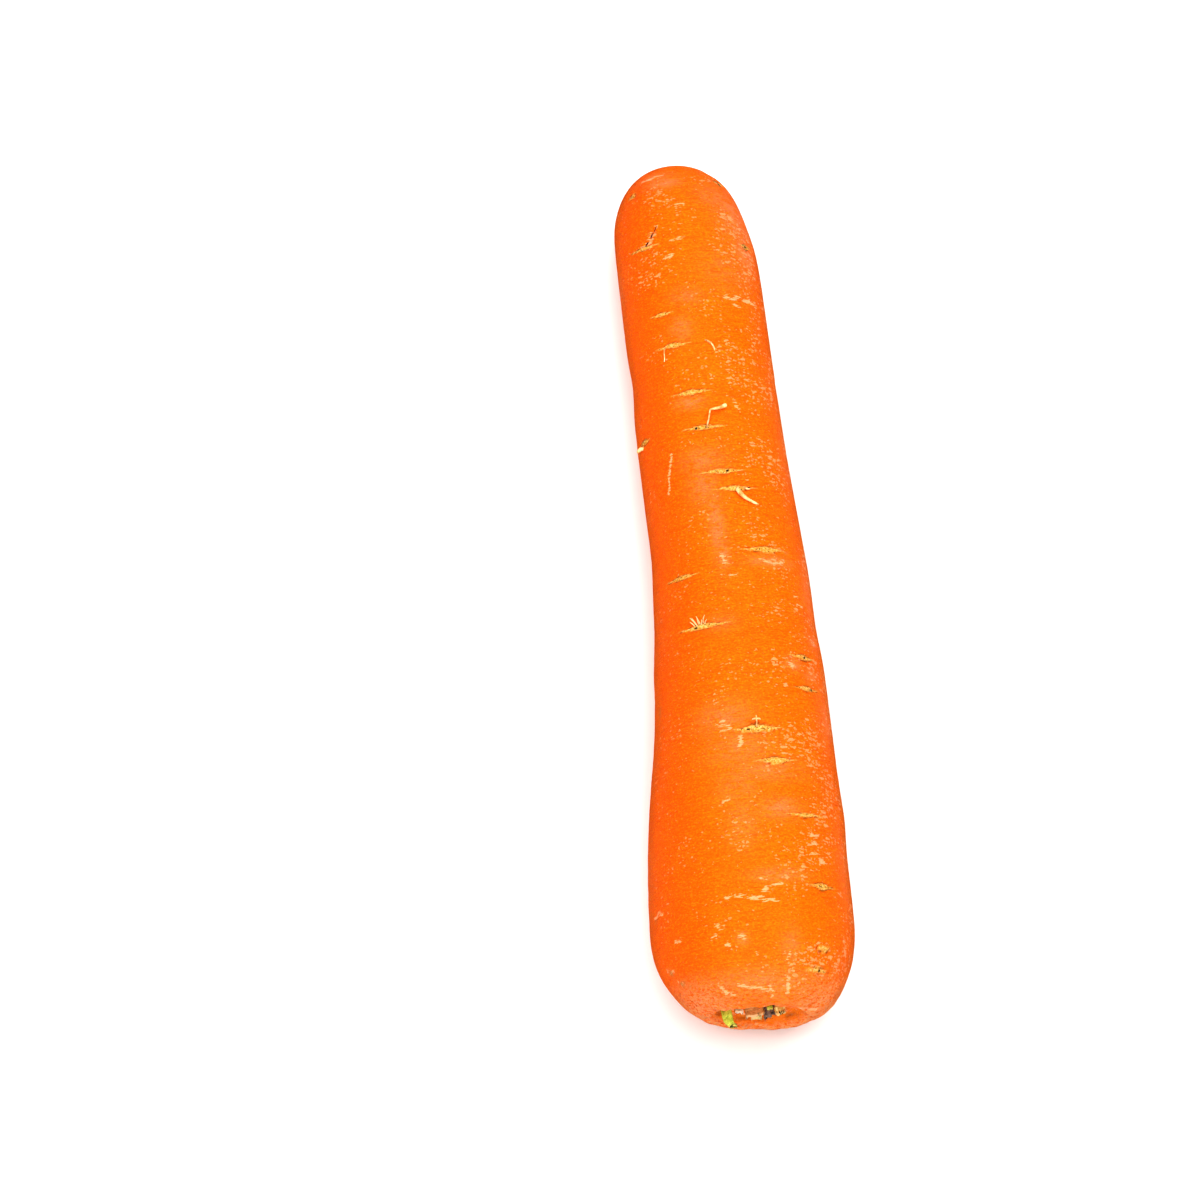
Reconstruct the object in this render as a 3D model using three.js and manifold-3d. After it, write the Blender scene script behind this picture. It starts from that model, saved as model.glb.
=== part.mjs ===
// A topped carrot lying on its side: one fleshy taproot, the broken leaf bases left in the hollow
// of its crown, and the few dried side roots that still cling to its skin.
// Millimetres, +Z up. The root lies along Y with its crown at -Y and its tip at +Y.
//
// Places on the skin are given as (t, turn, height): t is the distance from the crown's rim
// towards the tip, turn the angle in degrees round the root from its top towards +X, and height
// the distance off the skin.
import * as THREE from "three";
import { mergeVertices } from "three/addons/utils/BufferGeometryUtils.js";
import Module from "manifold-3d";

const wasm = await Module();
wasm.setup();

// ---- Colours -----------------------------------------------------------------------------
const ORANGE = 0xf0650f;
const GREEN = 0xb5bf3a;
const PALE = 0xe3d48a;
const TAN = 0xc98b4a;
const GREY = 0x8d7c70;
const STRAW = 0xf0cf9a;

const skinMaterial = (color, roughness) =>
  new THREE.MeshStandardMaterial({ color, roughness, metalness: 0 });

// ---- Driving dimensions ------------------------------------------------------------------
const LENGTH = 190; // rim of the crown to the tip
const SIDES = 44; // facets round the root
const BODY_ROWS = 34; // rows of facets between the shoulder and the tip's dome
const END_ROWS = 9; // rows of facets over the shoulder, and over the dome

const RIM_RADIUS = 10; // crest of the rim round the crown's hollow
const HOLLOW_DEPTH = 3.6; // from the rim down to the hollow's floor
const SHOULDER = 18; // length over which the rim swells to the root's full width
const DOME = 17; // length of the rounded tip
const BLUNTNESS = 0.88; // 1 makes the dome's outline a plain ellipse, and less makes it squarer
const CROWN_TILT = 0.065; // the crown's face leans this much further out on its +X side
const CROWN_LIFT = 1.6; // how far the hollow's middle sits above the root's middle
const ARCH = 0.5; // lift of the underside halfway along, which leaves the root on two feet
const PRESS = 0.4; // how far the lowest skin is flattened against what it rests on

// Shallow lobes round the section: how many, how deep as a share of the radius, where they start.
const LOBES = [[2, 0.012, 0.8], [3, 0.009, -0.6]];

// The hollow's half profile, as shares of its radius and of its depth, from its middle outwards.
const HOLLOW = [[0, 1], [0.32, 0.98], [0.58, 0.94], [0.76, 0.7], [0.88, 0.24]];

// Half-width of the root against the distance from the crown's rim, without its two rounded ends.
const WIDTHS = [[0, 20.6], [20, 21.0], [36, 20.4], [54, 19.3], [72, 18.1], [92, 16.7], [120, 15.7],
  [150, 15.3], [170, 14.9], [190, 13.1]];

// How far the root's middle bows to +X against the same distance.
const BOW = [[0, 0.8], [30, 1.1], [60, 2.2], [88, 3.0], [110, 2.2], [140, 0.9], [165, 0], [190, -1.9]];

// Lenticels, the shallow crossways scars that side roots leave: t, turn of the middle, half the
// turn they cover. The first rows are on the top and the rest on the sides and underneath.
const SCARS = [
  [167, -40, 16], [151, -31, 11], [143.5, -24, 16], [132.4, -14, 16], [124.2, -8, 15], [114, 2, 16],
  [110, 10, 16], [96.2, 25, 18], [92, -41, 14], [80, -25, 19], [72.5, 47, 10], [65.5, 45, 9],
  [56, 8, 13], [49, 18, 11], [37.3, 34, 10], [22.5, 41, 8], [10, 41, 5], [6.2, 40, 7],
  [158, 112, 13], [137, 96, 15], [118, 128, 12], [88, 104, 14], [62, 121, 11], [30, 98, 9],
  [161, -126, 12], [128, -104, 14], [101, -131, 13], [70, -98, 12], [44, -118, 10], [18, -101, 8],
  [146, 152, 12], [106, 155, 10], [84, -158, 11],
];
const SCAR_WIDTH = 0.9; // along the root
const SCAR_DEPTH = 0.32;

// Dried side roots: thickness, then where each runs over the skin.
const SIDE_ROOTS = {
  hooked_side_root: [0.6, [[124.4, -6, 0.7], [126.4, -3, 1.5], [128.4, -1, 1.9], [129.3, 5, 1.7],
    [129, 12, 1.3]]],
  curled_side_root: [0.6, [[109.8, 12, 0.7], [108.2, 14, 1.4], [106.8, 17, 1.6], [106, 22, 1.2],
    [106.1, 27, 0.9]]],
  hanging_side_root: [0.5, [[143.2, -30, 0.7], [141.8, -30.5, 1.2], [140.4, -32, 0.8]]],
  arched_side_root: [0.5, [[143.5, 3, 0.7], [142.9, 6, 1.1], [141.4, 9, 0.8]]],
  short_side_root: [0.7, [[56.4, 7, 0.7], [57.6, 6.5, 1.7], [58.9, 6.5, 2.3]]],
  edge_side_root: [0.7, [[124.8, -80, 0.7], [125.4, -82, 1.6], [126.4, -84, 2.1]]],
  left_root_hair: [0.5, [[80.6, -31, 0.7], [81.8, -32, 1.5], [82.6, -34, 2]]],
  middle_root_hair: [0.5, [[80.6, -26, 0.7], [82, -25, 1.6], [83, -25.5, 2.2]]],
  right_root_hair: [0.5, [[80.2, -20, 0.7], [81.2, -18, 1.4], [81.8, -15, 1.5]]],
};
const ROOT_SIDES = 6; // facets round a side root
const ROOT_STEPS = 7; // rows of facets along one

// Broken leaf bases in the hollow. Places are (right, out, up) from the hollow's middle at the
// level of the rim; each runs from its root to its broken end, wide and thick in section, rolled
// round its length by a number of degrees and drawn in by taper at the end.
const LEAF_BASES = {
  green_leaf_stalk: { from: [-6.6, -2.3, 2.3], to: [-5.3, 3.5, 0.5],
    wide: 2.1, thick: 1.2, roll: 70, taper: 0.75, color: GREEN },
  pale_leaf_stalk: { from: [-0.3, -3.1, -2], to: [-0.2, -0.7, -1.8],
    wide: 2.5, thick: 1.9, roll: 180, taper: 0.9, color: PALE },
  small_green_leaf_stalk: { from: [2.8, -3, 3.1], to: [2.9, -1.5, 3],
    wide: 1.5, thick: 1.1, roll: -30, taper: 0.9, color: GREEN },
  side_leaf_stalk: { from: [5, -2.5, 1.9], to: [5, -0.9, 1.9],
    wide: 2, thick: 1.4, roll: -60, taper: 0.9, color: PALE },
  dried_leaf_base: { from: [-0.6, -3, 3.6], to: [-0.6, -1.2, 3.5],
    wide: 4.3, thick: 1, roll: 0, taper: 1, color: TAN },
  withered_leaf: { from: [2.8, -3.1, -0.8], to: [2.9, -1, -1],
    wide: 2.1, thick: 1.3, roll: 160, taper: 0.8, color: GREY },
  papery_scale: { from: [-4.1, -2.9, 2.9], to: [-4.1, -1.3, 3],
    wide: 1.8, thick: 0.7, roll: 20, taper: 0.9, color: STRAW },
};
const LEAF_STEPS = 3; // rows of facets along a leaf base
const LEAF_CURVE_STEPS = 5; // facets along each side of its section

// ---- The root's own shape ----------------------------------------------------------------
const curveThrough = (pairs) => new THREE.SplineCurve(pairs.map(([x, y]) => new THREE.Vector2(x, y)));
const widths = curveThrough(WIDTHS);
const bow = curveThrough(BOW);

// The height of such a curve at x, found by halving, since x grows all the way along it.
function heightAt(curve, x) {
  let low = 0;
  let high = 1;
  for (let i = 0; i < 30; i++) {
    const middle = (low + high) / 2;
    if (curve.getPoint(middle).x < x) low = middle;
    else high = middle;
  }
  return curve.getPoint(high).y;
}

// The skin's radius at t, before the lobes.
function radiusAt(t) {
  const full = heightAt(widths, t);
  if (t < SHOULDER) {
    return RIM_RADIUS + (full - RIM_RADIUS) * Math.sqrt(1 - (1 - t / SHOULDER) ** 2);
  }
  const past = Math.max(0, (t - LENGTH + DOME) / DOME) ** (1 / BLUNTNESS);
  return full * (1 - past ** 2) ** (BLUNTNESS / 2);
}

// How much the section departs from a circle; the underside keeps its own radius.
function lobes(x, z) {
  const turn = Math.atan2(x, -z);
  const away = (1 - Math.cos(turn)) / 2;
  const waves = LOBES.map(([count, size, start]) => size * Math.cos(count * turn + start));
  return 1 + away * waves.reduce((sum, wave) => sum + wave, 0);
}

// Height of the root's middle, for an underside that lies along the floor.
function middleHeight(t) {
  const along = THREE.MathUtils.clamp(t / LENGTH, 0, 1);
  return heightAt(widths, t) - PRESS + ARCH * Math.sin(Math.PI * along) ** 2;
}

// Takes a point of the straight, round root to its place on the grown one.
function grown(x, t, z) {
  const lobe = lobes(x, z);
  const inward = 1 - Math.min(1, Math.hypot(x, z) / heightAt(widths, t)) ** 2;
  const nearCrown = Math.max(0, 1 - t / (2 * SHOULDER)) ** 2;
  const lean = CROWN_TILT * x * nearCrown;
  const lift = CROWN_LIFT * inward * nearCrown;
  const height = z * lobe + middleHeight(t) + lift;
  return new THREE.Vector3(x * lobe + heightAt(bow, t), t - lean - LENGTH / 2, Math.max(0, height));
}

function onSkin(t, turn, height) {
  const radius = radiusAt(t) + height;
  const angle = THREE.MathUtils.degToRad(turn);
  return grown(radius * Math.sin(angle), t, radius * Math.cos(angle));
}

function inHollow(right, out, up) {
  const x = heightAt(bow, 0) + right;
  return new THREE.Vector3(x, -LENGTH / 2 - out, middleHeight(0) + CROWN_LIFT + up);
}

// ---- Solids ------------------------------------------------------------------------------
function solidOf(geometry) {
  geometry.deleteAttribute("uv");
  geometry.deleteAttribute("normal");
  const merged = mergeVertices(geometry, 1e-4);
  const corners = [];
  for (let i = 0; i < merged.index.count; i += 3) {
    const [a, b, c] = [0, 1, 2].map((step) => merged.index.getX(i + step));
    if (a !== b && b !== c && c !== a) corners.push(a, b, c);
  }
  const vertProperties = new Float32Array(merged.attributes.position.array);
  const triVerts = new Uint32Array(corners);
  return new wasm.Manifold(new wasm.Mesh({ numProp: 3, vertProperties, triVerts }));
}

function geometryOf(solid) {
  const mesh = solid.getMesh();
  const geometry = new THREE.BufferGeometry();
  geometry.setAttribute("position", new THREE.BufferAttribute(mesh.vertProperties, 3));
  geometry.setIndex(new THREE.BufferAttribute(mesh.triVerts, 1));
  geometry.computeVertexNormals();
  return geometry;
}

function moveVertices(geometry, placeOf) {
  const position = geometry.attributes.position;
  for (let i = 0; i < position.count; i++) {
    const place = placeOf(position.getX(i), position.getY(i), position.getZ(i));
    position.setXYZ(i, place.x, place.y, place.z);
  }
  return geometry;
}

// ---- Taproot -----------------------------------------------------------------------------

// Half profile as (radius, t): from the middle of the hollow, over the rim and the shoulder,
// along the root and round the dome to the tip.
function rootProfile() {
  const points = HOLLOW.map(
    ([across, down]) => new THREE.Vector2(across * RIM_RADIUS, down * HOLLOW_DEPTH),
  );
  const addRow = (t) => points.push(new THREE.Vector2(radiusAt(t), t));
  for (let i = 0; i < END_ROWS; i++) {
    addRow(SHOULDER * (1 - Math.cos((Math.PI / 2) * (i / END_ROWS))));
  }
  const domeStart = LENGTH - DOME;
  for (let i = 0; i < BODY_ROWS; i++) {
    addRow(SHOULDER + (domeStart - SHOULDER) * (i / BODY_ROWS));
  }
  for (let i = 0; i < END_ROWS; i++) {
    addRow(domeStart + DOME * Math.sin((Math.PI / 2) * (i / END_ROWS)) ** BLUNTNESS);
  }
  points.push(new THREE.Vector2(0, LENGTH));
  return points;
}

// One lenticel's hollow: a ball drawn out to a spindle and bent round the skin.
function scarCutter([t, turn, halfTurn]) {
  const ball = new THREE.SphereGeometry(1, 6, 6);
  const place = (x, y, z) =>
    onSkin(t - (x * SCAR_WIDTH) / 2, turn + y * halfTurn, z * SCAR_DEPTH);
  return solidOf(moveVertices(ball, place));
}

function taproot() {
  const lathe = new THREE.LatheGeometry(rootProfile(), SIDES);
  const solid = solidOf(moveVertices(lathe, grown));
  return geometryOf(wasm.Manifold.difference([solid, ...SCARS.map(scarCutter)]));
}

// ---- Side roots and leaf bases -----------------------------------------------------------
function sideRoot([thickness, route]) {
  const path = new THREE.CatmullRomCurve3(route.map((place) => onSkin(...place)));
  const section = new THREE.Shape();
  section.absarc(0, 0, thickness / 2, 0, 2 * Math.PI);
  const options = { steps: ROOT_STEPS, extrudePath: path, curveSegments: ROOT_SIDES };
  return new THREE.ExtrudeGeometry(section, { ...options, bevelEnabled: false });
}

// A leaf stalk's section is a channel: round outside and hollowed inside.
function leafBase({ from, to, wide, thick, roll, taper }) {
  const section = new THREE.Shape();
  section.moveTo(-wide / 2, 0);
  section.quadraticCurveTo(0, -2 * thick, wide / 2, 0);
  section.quadraticCurveTo(0, -0.5 * thick, -wide / 2, 0);
  const options = { depth: 1, steps: LEAF_STEPS, curveSegments: LEAF_CURVE_STEPS };
  const straight = new THREE.ExtrudeGeometry(section, { ...options, bevelEnabled: false });
  straight.rotateZ(THREE.MathUtils.degToRad(roll));
  return moveVertices(straight, (x, y, along) => {
    const scale = THREE.MathUtils.lerp(1, taper, along);
    const [right, out, up] = from.map((start, i) => THREE.MathUtils.lerp(start, to[i], along));
    return inHollow(right + x * scale, out, up + y * scale);
  });
}

const part = new THREE.Group();

function add(name, geometry, material) {
  const mesh = new THREE.Mesh(geometry, material);
  mesh.name = name;
  part.add(mesh);
}

add("taproot", taproot(), skinMaterial(ORANGE, 0.45));
for (const [name, root] of Object.entries(SIDE_ROOTS)) {
  add(name, sideRoot(root), skinMaterial(STRAW, 0.8));
}
for (const [name, leaf] of Object.entries(LEAF_BASES)) {
  add(name, leafBase(leaf), skinMaterial(leaf.color, 0.7));
}

// The origin is the middle of the whole part's underside.
const box = new THREE.Box3().setFromObject(part);
const middle = box.getCenter(new THREE.Vector3());
part.children.forEach((mesh) => mesh.geometry.translate(-middle.x, -middle.y, -box.min.z));

export default part;
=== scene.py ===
# %% [markdown]
# # A topped carrot
#
# A carrot is one fleshy taproot. Its leaves were cut off after it was pulled, so a few broken leaf
# stalks are left in the hollow of its crown, and a few dried side roots still cling to its skin.
# Its thin, moist, bright orange skin has fine crossways wrinkles, tan scars where side roots grew,
# and pale marks where it has dried or rubbed.
#
# The solids of the same carrot are already packed. They fix where everything is, and each piece
# made here stands in for one or more of them. The root lies along Y, crown at -Y and tip at +Y.

import math

import bmesh
import bpy
import numpy as np
from mathutils import Matrix, Vector, noise


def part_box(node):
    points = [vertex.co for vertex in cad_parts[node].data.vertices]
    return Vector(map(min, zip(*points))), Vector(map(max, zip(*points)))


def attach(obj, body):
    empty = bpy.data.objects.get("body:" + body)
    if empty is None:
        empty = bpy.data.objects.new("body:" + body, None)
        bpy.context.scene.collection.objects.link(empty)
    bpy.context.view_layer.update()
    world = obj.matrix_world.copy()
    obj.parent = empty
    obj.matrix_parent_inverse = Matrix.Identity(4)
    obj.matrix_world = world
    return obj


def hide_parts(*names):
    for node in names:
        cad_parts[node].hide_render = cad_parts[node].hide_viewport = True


MM = 0.001

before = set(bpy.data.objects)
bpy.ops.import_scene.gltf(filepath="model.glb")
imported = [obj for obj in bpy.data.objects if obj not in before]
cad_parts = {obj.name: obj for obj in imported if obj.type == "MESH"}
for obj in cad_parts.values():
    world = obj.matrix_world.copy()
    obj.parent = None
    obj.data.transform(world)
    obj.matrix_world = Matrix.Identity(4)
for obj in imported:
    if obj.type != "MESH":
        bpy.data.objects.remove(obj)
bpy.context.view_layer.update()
scene = bpy.context.scene
print("solids in the frame:", sorted(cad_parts))

# %% [markdown]
# ## The root's own shape
#
# Everything on the carrot is easiest to place on a straight, round root first, and then to move to
# where the real one grew. A place on the skin is then two numbers: t, the distance in millimetres
# from the crown's rim towards the tip, and turn, the angle in degrees round the root from its top
# towards +X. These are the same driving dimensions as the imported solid's.

# %% Driving dimensions of the root, in millimetres
LENGTH = 190.0
RIM_RADIUS = 10.0
HOLLOW_DEPTH = 3.6
SHOULDER = 18.0
DOME = 17.0
BLUNTNESS = 0.88
CROWN_TILT = 0.065
CROWN_LIFT = 1.6
ARCH = 0.5
PRESS = 0.4
LOBES = [(2, 0.012, 0.8), (3, 0.009, -0.6)]
HOLLOW = [(0, 1), (0.32, 0.98), (0.58, 0.94), (0.76, 0.7), (0.88, 0.24), (1, 0)]
WIDTHS = [(0, 20.6), (20, 21.0), (36, 20.4), (54, 19.3), (72, 18.1), (92, 16.7), (120, 15.7),
          (150, 15.3), (170, 14.9), (190, 13.1)]
BOW = [(0, 0.8), (30, 1.1), (60, 2.2), (88, 3.0), (110, 2.2), (140, 0.9), (165, 0), (190, -1.9)]


def smooth_through(pairs, steps=40):
    """A smooth curve through a few (x, y) pairs, as a function that gives y at any x."""
    points = np.array([pairs[0], *pairs, pairs[-1]], float)
    rows = []
    for before, start, end, after in zip(points, points[1:], points[2:], points[3:]):
        for s in np.linspace(0, 1, steps, endpoint=False):
            slope_in, slope_out = (end - before) / 2, (after - start) / 2
            rows.append((2 * s**3 - 3 * s**2 + 1) * start + (s**3 - 2 * s**2 + s) * slope_in
                        + (3 * s**2 - 2 * s**3) * end + (s**3 - s**2) * slope_out)
    table = np.array([*rows, points[-1]])
    return lambda x: np.interp(x, table[:, 0], table[:, 1])


width_at = smooth_through(WIDTHS)
bow_at = smooth_through(BOW)
hollow_at = smooth_through(HOLLOW)
print("half-width 20 and 150 mm from the crown:", width_at(20).round(2), width_at(150).round(2), "mm")


# %% From the straight root to the grown one
def radius_at(t):
    """Radius of the skin at t, with the shoulder and the dome rounded off."""
    t = np.asarray(t, float)
    full = width_at(t)
    shoulder = RIM_RADIUS + (full - RIM_RADIUS) * np.sqrt(1 - np.clip(1 - t / SHOULDER, 0, 1) ** 2)
    past = np.clip((t - LENGTH + DOME) / DOME, 0, 1) ** (1 / BLUNTNESS)
    dome = full * (1 - past**2) ** (BLUNTNESS / 2)
    return np.where(t < SHOULDER, shoulder, dome)


def grown(x, t, z):
    """Moves points of the straight, round root to their places on the grown one, in mm."""
    underside = np.arctan2(x, -z)
    waves = sum(size * np.cos(count * underside + start) for count, size, start in LOBES)
    lobe = 1 + (1 - np.cos(underside)) / 2 * waves
    along = np.clip(t / LENGTH, 0, 1)
    middle = width_at(t) - PRESS + ARCH * np.sin(np.pi * along) ** 2
    inward = 1 - np.minimum(1, np.hypot(x, z) / width_at(t)) ** 2
    near_crown = np.maximum(0, 1 - t / (2 * SHOULDER)) ** 2
    lean = CROWN_TILT * x * near_crown
    lift = CROWN_LIFT * inward * near_crown
    return np.stack([x * lobe + bow_at(t), t - lean - LENGTH / 2, z * lobe + middle + lift], -1)


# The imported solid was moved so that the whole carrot's underside is centred on the origin, and
# the tip's own place shows by how much: its end, and the middle of the root's width.
cad_low, cad_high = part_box("taproot")
rows_t, rows_turn = np.meshgrid(np.linspace(0, LENGTH, 400), np.linspace(0, 2 * np.pi, 200))
outline = grown(radius_at(rows_t) * np.sin(rows_turn), rows_t, radius_at(rows_t) * np.cos(rows_turn))
ORIGIN = np.array([
    (outline[..., 0].max() + outline[..., 0].min()) / 2 - (cad_high.x + cad_low.x) / 2 / MM,
    LENGTH / 2 - cad_high.y / MM,
    0,
])
print("the origin is", ORIGIN.round(3), "mm from the straight root's middle")


def in_frame(points_mm):
    """Millimetres from the root's middle to metres in the frame."""
    return (np.asarray(points_mm, float) - ORIGIN) * MM


def on_skin(t, turn, height=0.0):
    """The place in the frame, in metres, of a point height mm off the skin."""
    radius = radius_at(t) + height
    angle = math.radians(turn)
    return Vector(in_frame(grown(radius * math.sin(angle), float(t), radius * math.cos(angle))))

# %% [markdown]
# ## Turning the root
#
# A root is round along its whole length, so its mesh starts as a half profile that is spun once
# round the Y axis. The rows of the profile are about 0.6 mm apart, and much closer where a scar
# runs, because a scar is a long narrow mark that runs the same way as the rows. The hollow's rows
# come first.

# %% The side roots' scars
# Each scar: t, turn of its middle, half the turn it covers, its width in millimetres, then the
# places of its dark pits as shares of its half length. The first group is on the top.
SCARS = [
    (167, -40, 17, 0.9), (151, -31, 12, 1.0), (143.5, -24, 17, 1.1),
    (132.4, -14, 18, 1.4), (124.2, -8, 19, 1.2, (-0.3, 0.14)), (114, 2, 19, 1.3, (0.2,)),
    (110, 10, 19, 1.3, (0.55,)), (96.2, 25, 21, 1.4), (92, -41, 17, 1.2),
    (80, -25, 22, 1.4, (-0.25,)), (72.5, 46, 14, 1.2, (0.1,)), (65.5, 46, 13, 1.1, (0.4,)),
    (56, 8, 17, 2.0, (-0.35,)), (49, 18, 15, 1.5), (37.3, 34, 14, 1.0),
    (22.5, 41, 11, 1.3, (-0.1,)), (10, 41, 9, 1.1), (6.2, 40, 11, 1.2, (0.1,)),
    (125, -67, 10, 1.3), (166.8, 54, 8, 1.4, (0.0,)), (183.2, 52, 9, 1.2, (0.2,)),
    (181, -50, 8, 1.2, (0.1,)),
    (158, 112, 13, 1.1), (137, 96, 15, 1.3, (-0.2,)), (118, 128, 12, 1.2),
    (88, 104, 14, 1.4, (0.15,)), (62, 121, 11, 1.5), (30, 98, 9, 1.4),
    (161, -126, 12, 1.0), (128, -104, 14, 1.3, (-0.2,)), (101, -131, 13, 1.2),
    (70, -98, 12, 1.6, (0.1,)), (44, -118, 10, 1.5), (18, -101, 8, 1.2),
    (146, 152, 12, 1.0), (106, 155, 10, 1.1, (0.2,)), (84, -158, 11, 1.3),
]
print(len(SCARS), "scars")

# %% Rows of the profile
SIDES = 184
ROW = 0.62
SCAR_ROW = 0.24
SCAR_REACH = 1.0


def rows_between(start, end):
    """Values of t from start to end: ROW apart, and SCAR_ROW apart near a scar."""
    rows = [start]
    while rows[-1] < end:
        near = any(abs(rows[-1] - t) < SCAR_REACH for t, *_ in SCARS)
        rows.append(rows[-1] + (SCAR_ROW if near else ROW))
    return rows[:-1]


def root_profile():
    """(radius, t) from the middle of the hollow to the tip."""
    across = np.linspace(0, 1, 30)[:-1]
    points = [(a * RIM_RADIUS, hollow_at(a) * HOLLOW_DEPTH) for a in across]
    turns = np.linspace(0, math.pi / 2, 40)[:-1]
    points += [(radius_at(t), t) for t in SHOULDER * (1 - np.cos(turns))]
    points += [(radius_at(t), t) for t in rows_between(SHOULDER, LENGTH - DOME)]
    turns = np.linspace(0, math.pi / 2, 38)
    points += [(radius_at(t), t) for t in LENGTH - DOME + DOME * np.sin(turns) ** BLUNTNESS]
    return [(float(r), float(t)) for r, t in points]


profile = root_profile()
print(len(profile), "rows round", SIDES, "sides:", 2 * len(profile) * SIDES, "triangles")

# %% Spinning the profile
root_bm = bmesh.new()
ring = [root_bm.verts.new((0, t, r)) for r, t in profile]
line = [root_bm.edges.new(pair) for pair in zip(ring, ring[1:])]
bmesh.ops.spin(root_bm, geom=ring + line, cent=(0, 0, 0), axis=(0, 1, 0), angle=2 * math.pi,
               steps=SIDES, use_merge=True, use_duplicate=False)
bmesh.ops.remove_doubles(root_bm, verts=root_bm.verts, dist=1e-4)
bmesh.ops.recalc_face_normals(root_bm, faces=root_bm.faces)
root_mesh = bpy.data.meshes.new("carrot_root")
root_bm.to_mesh(root_mesh)
root_bm.free()
print("spun root:", len(root_mesh.vertices), "vertices,", len(root_mesh.polygons), "faces")

# %% [markdown]
# ## Growing and sculpting the root
#
# A real root bows and has lobes, and its skin has swellings a few centimetres long, faint
# crossways wrinkles and finer ones between them. Moving the spun vertices in steps, from the
# largest shape to the smallest, gives each its own size. Every step is a height off the skin in
# millimetres, worked out from where a vertex lies on the straight root, so the same numbers also
# tell the material what is there.

# %% Reading and writing vertices
def coordinates(mesh):
    """The mesh's vertices as an n by 3 array."""
    values = np.empty(len(mesh.vertices) * 3)
    mesh.vertices.foreach_get("co", values)
    return values.reshape(-1, 3)


def normals(mesh):
    """The mesh's vertex normals as an n by 3 array."""
    values = np.empty(len(mesh.vertices) * 3)
    mesh.vertex_normals.foreach_get("vector", values)
    return values.reshape(-1, 3)


def set_coordinates(mesh, points):
    mesh.vertices.foreach_set("co", np.asarray(points, float).ravel())
    mesh.update()


def placed(name, data):
    """A new object of that name in the scene, made of a mesh, a lamp or a camera."""
    made = bpy.data.objects.new(name, data)
    scene.collection.objects.link(made)
    return made


def paint(mesh, name, values):
    """Stores one number from 0 to 1 at each vertex, for a material to read by name."""
    attribute = mesh.attributes.get(name) or mesh.attributes.new(name, "FLOAT", "POINT")
    attribute.data.foreach_set("value", np.clip(values, 0, 1).astype(np.float32))


def noise_at(points, size, seed=0.0):
    """Smooth noise from -1 to 1 with features about size long: one number or (x, y, z)."""
    scaled = np.asarray(points, float) / np.asarray(size, float) + seed * 11.7
    return np.array([noise.noise(p) for p in scaled])


def smooth_step(low, high, x):
    share = np.clip((x - low) / (high - low), 0, 1)
    return share * share * (3 - 2 * share)


def fade(low, high, x):
    return 1 - smooth_step(low, high, x)


def bell(x, width):
    """1 where x is 0, falling smoothly to about a third where x is width."""
    return np.exp(-((x / width) ** 2))


# %% Skin coordinates of the root's vertices
# The sides are drawn together on the top, where the carrot is looked at, and apart underneath.
TOP_SHARE = 0.3
straight = coordinates(root_mesh)
skin_t = straight[:, 1].copy()
skin_radius = np.hypot(straight[:, 0], straight[:, 2])
even_turn = np.arctan2(straight[:, 0], straight[:, 2])
skin_turn = even_turn - TOP_SHARE * np.sin(even_turn)
straight[:, 0] = skin_radius * np.sin(skin_turn)
straight[:, 2] = skin_radius * np.cos(skin_turn)
skin_turn = np.degrees(skin_turn)
set_coordinates(root_mesh, grown(straight[:, 0], skin_t, straight[:, 2]))
in_hollow = (skin_radius < RIM_RADIUS) & (skin_t < HOLLOW_DEPTH + 1)
print("a side on the top is", round(2 * math.pi * 20 / SIDES * (1 - TOP_SHARE), 2), "mm wide")

# %% Swellings and wrinkles
round_share = np.clip(skin_radius / 14, 0, 1)
swelling = 0.22 * noise_at(straight, (26, 34, 26), 1) + 0.1 * noise_at(straight, (11, 13, 11), 2)
wrinkled = smooth_step(-0.25, 0.5, noise_at(straight, (16, 24, 16), 3))
wrinkles = 0.05 * noise_at(straight, (13, 2.6, 13), 4) + 0.035 * noise_at(straight, (8, 1.2, 8), 5)
relief = round_share * (swelling + (0.35 + 0.65 * wrinkled) * wrinkles)
print("swellings reach", np.abs(swelling).max().round(2), "mm")

# %% [markdown]
# ## Scars where side roots grew
#
# Each fine side root leaves a crossways scar: a narrow lens with long thin ends, filled with tan,
# corky tissue, in a shallow dip of the skin. Dark flecks are left where the side root itself broke
# off. A material alone would look printed, so the lens is sculpted, and the mask that shapes it is
# painted for its colour.

# %% Marks on the skin
EMPTY = np.zeros(len(skin_t))
scar_paint = EMPTY.copy()
scar_edge_and_shade_paint = EMPTY.copy()
fleck_paint = EMPTY.copy()


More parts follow.
